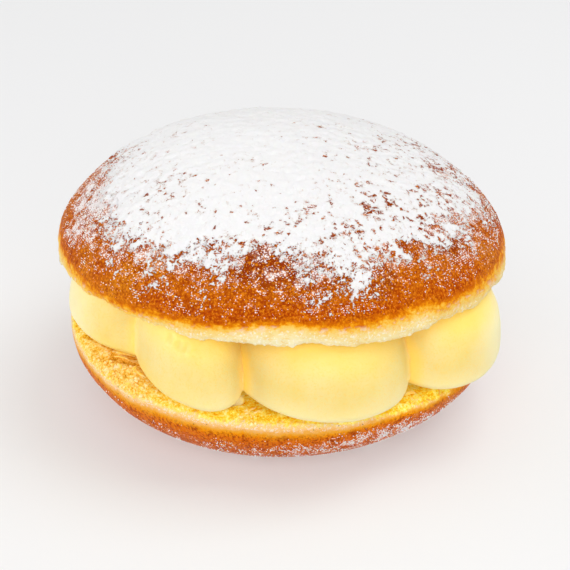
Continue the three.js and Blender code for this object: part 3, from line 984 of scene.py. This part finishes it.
def bottom_material():
    s = Shader("crust_and_crumb", Subsurface_Weight=0.06, Emission_Strength=FOOD_GLOW, **DOUGH)
    below, is_open, lump, frost, toast = (
        s.field(name) for name in ("below", "open", "lump", "frost", "toast"))
    edge = s.times(s.even(1.0, 0.052, 4, 0.75), 0.2)
    outside = by_height(s, s.add(below, edge), WALL_COLOURS)
    brown = s.step(below, 2.4, 4.4)
    upright = s.stretched(1.0, 1.0, 0.55)
    outside = browned(s, outside, brown, upright)

    # Painted glints on the collar, a few dark dots, and sugar clinging to the wall.
    outside = s.mottled(outside, s.step(below, 3.0, 1.4),
                        (s.even(0.5, 0.045, 4, 0.7), 0.6, 1.7, 0.75, "#FFF3DE"))
    outside = s.mottled(outside, s.step(s.noise(2.3, 2), 0.49, 0.55),
                        (s.cells(1.5), 0.14, 0.08, 0.7, "#3A2010"))
    outside = filmed(s, outside, frost, brown, 0.05, upright)

    # The open crumb's colour follows its relief: painted shade in the pores, painted light on the lumps.
    relief = s.add(lump, s.times(s.even(0.6, 0.049, 3, 0.75), 0.6))
    crumb = by_height(s, relief, CRUMB_COLOURS)
    crumb = s.mix(toast, crumb, by_height(s, relief, TOASTED_COLOURS))
    s.set("Base Color", s.mix(is_open, outside, crumb))
    # Painted light: the open crumb glows faintly where it lies in shade.
    s.set("Emission Color", s.mix(is_open, BLACK, crumb))
    s.set("Roughness", s.add(s.times(is_open, 0.3), 0.38))
    s.set("Normal", s.bump(s.noise(0.55, 4, 0.75), 0.3))
    return s.material


def cream_material():
    s = Shader("custard_cream", Roughness=0.42, Subsurface_Weight=0.8, Subsurface_Scale=0.005,
               Subsurface_Radius=(1.0, 0.86, 0.5), Emission_Strength=FOOD_GLOW)
    base = s.ramp(s.noise(7.0, 4, 0.6), (0.3, "#EED67C"), (0.7, "#F0DC92"))
    base = s.tinted(base, "#F8CE50", s.step(s.even(0.5, 0.049, 3, 0.75), 0.4, 2.4), 0.35)
    # Paler where the cream takes painted light, a deeper yellow where it takes painted shade.
    base = s.tinted(base, "#FFF1BC", s.field("pale"), 0.75)
    base = s.tinted(base, "#FFD862", s.field("tuck"), 0.85)
    s.set("Base Color", base)
    # A painted glow where the cream lies in shade, in the creases and under the top half.
    s.set("Emission Color", s.mix(s.field("hidden"), BLACK, base))
    soft = s.bump(s.noise(2.4, 3), 0.16)
    s.set("Normal", s.bump(s.noise(0.4, 3, 0.6), 0.07, Normal=soft))
    return s.material


def grain_material():
    s = Shader("sugar_grains", Roughness=0.35, Subsurface_Weight=0.3, Subsurface_Scale=0.0005)
    s.set("Base Color", s.ramp(s.noise(1.5, 2), (0.35, "#F2F0EF"), (0.65, "#FAF9F8")))
    return s.material


def loose_crumb_material():
    s = Shader("loose_crumb", Roughness=0.7, Subsurface_Weight=0.2, Subsurface_Scale=0.002,
               Specular_IOR_Level=0.05, Emission_Strength=FOOD_GLOW)
    base = s.ramp(s.noise(1.1, 4, 0.7), (0.38, "#FFCC4C"), (0.5, "#FFDA78"), (0.62, "#FFEAAE"))
    s.set("Base Color", base)
    # Painted light: the loose crumbs glow faintly, as the open crumb does.
    s.set("Emission Color", base)
    s.set("Normal", s.bump(s.noise(0.5, 3, 0.7), 0.15))
    return s.material


# ---- studio ----
def floor_material():
    s = Shader("pale_floor", Roughness=0.9, Specular_IOR_Level=0.0, Emission_Color=WHITE)
    away = s.node("VectorMath", Vector=s.place)
    away.operation = "LENGTH"
    far = s.step(away.outputs["Value"], *FLOOR_FADE)
    table = s.ramp(s.noise(400, 2), (0.0, "#BABABB"), (1.0, "#BDBDBD"))
    s.set("Base Color", s.mix(far, table, BLACK))
    s.set("Emission Strength", s.add(s.times(far, SKY_STRENGTH - FLOOR_GLOW), FLOOR_GLOW))
    return s.material


def white_floor():
    mesh = bpy.data.meshes.new("floor")
    corners = [(FLOOR_HALF * x, FLOOR_HALF * y, 0) for x, y in ((-1, -1), (1, -1), (1, 1), (-1, 1))]
    mesh.from_pydata(corners, [], [(0, 1, 2, 3)])
    mesh.materials.append(floor_material())
    add_object("floor", mesh)


def lights():
    world = bpy.data.worlds.new("studio")
    world.use_nodes = True
    sky = world.node_tree.nodes["Background"]
    sky.inputs["Color"].default_value = WHITE
    sky.inputs["Strength"].default_value = SKY_STRENGTH
    bpy.context.scene.world = world
    for name, facing, height, power, wide, tall in LAMPS:
        light = bpy.data.lights.new(name, "AREA")
        light.shape, light.energy = "RECTANGLE", power
        light.size, light.size_y = wide, tall
        turn, lift = math.radians(facing), math.radians(height)
        way = Vector((math.cos(turn) * math.cos(lift), math.sin(turn) * math.cos(lift), math.sin(lift)))
        lamp = add_object(name, light)
        lamp.location = way * LAMP_DISTANCE
        lamp.rotation_euler = way.to_track_quat("Z", "Y").to_euler()


def main_camera():
    camera = add_object("camera", bpy.data.cameras.new("camera"))
    tilt = math.radians(CAMERA_ELEVATION)
    back = Vector((0, -math.cos(tilt), math.sin(tilt)))
    camera.location = (Vector(CAMERA_TARGET) + back * CAMERA_DISTANCE) * MM
    camera.rotation_euler = (-back).to_track_quat("-Z", "Y").to_euler()
    camera.data.lens, camera.data.sensor_width = CAMERA_LENS, CAMERA_SENSOR
    camera.data.clip_start = 0.01
    bpy.context.scene.camera = camera
    bpy.context.scene.view_settings.view_transform = "Standard"


white_floor()
lights()
main_camera()
top = top_half()
bottom = bottom_half()
cream = cream_filling()
grains = sugar_grains(top, bottom)
loose = crumbs_and_strands(bottom)
for piece, material in (
        (top, top_material()), (bottom, bottom_material()), (cream, cream_material()),
        (grains, grain_material()), (loose, loose_crumb_material())):
    piece.data.materials.append(material)
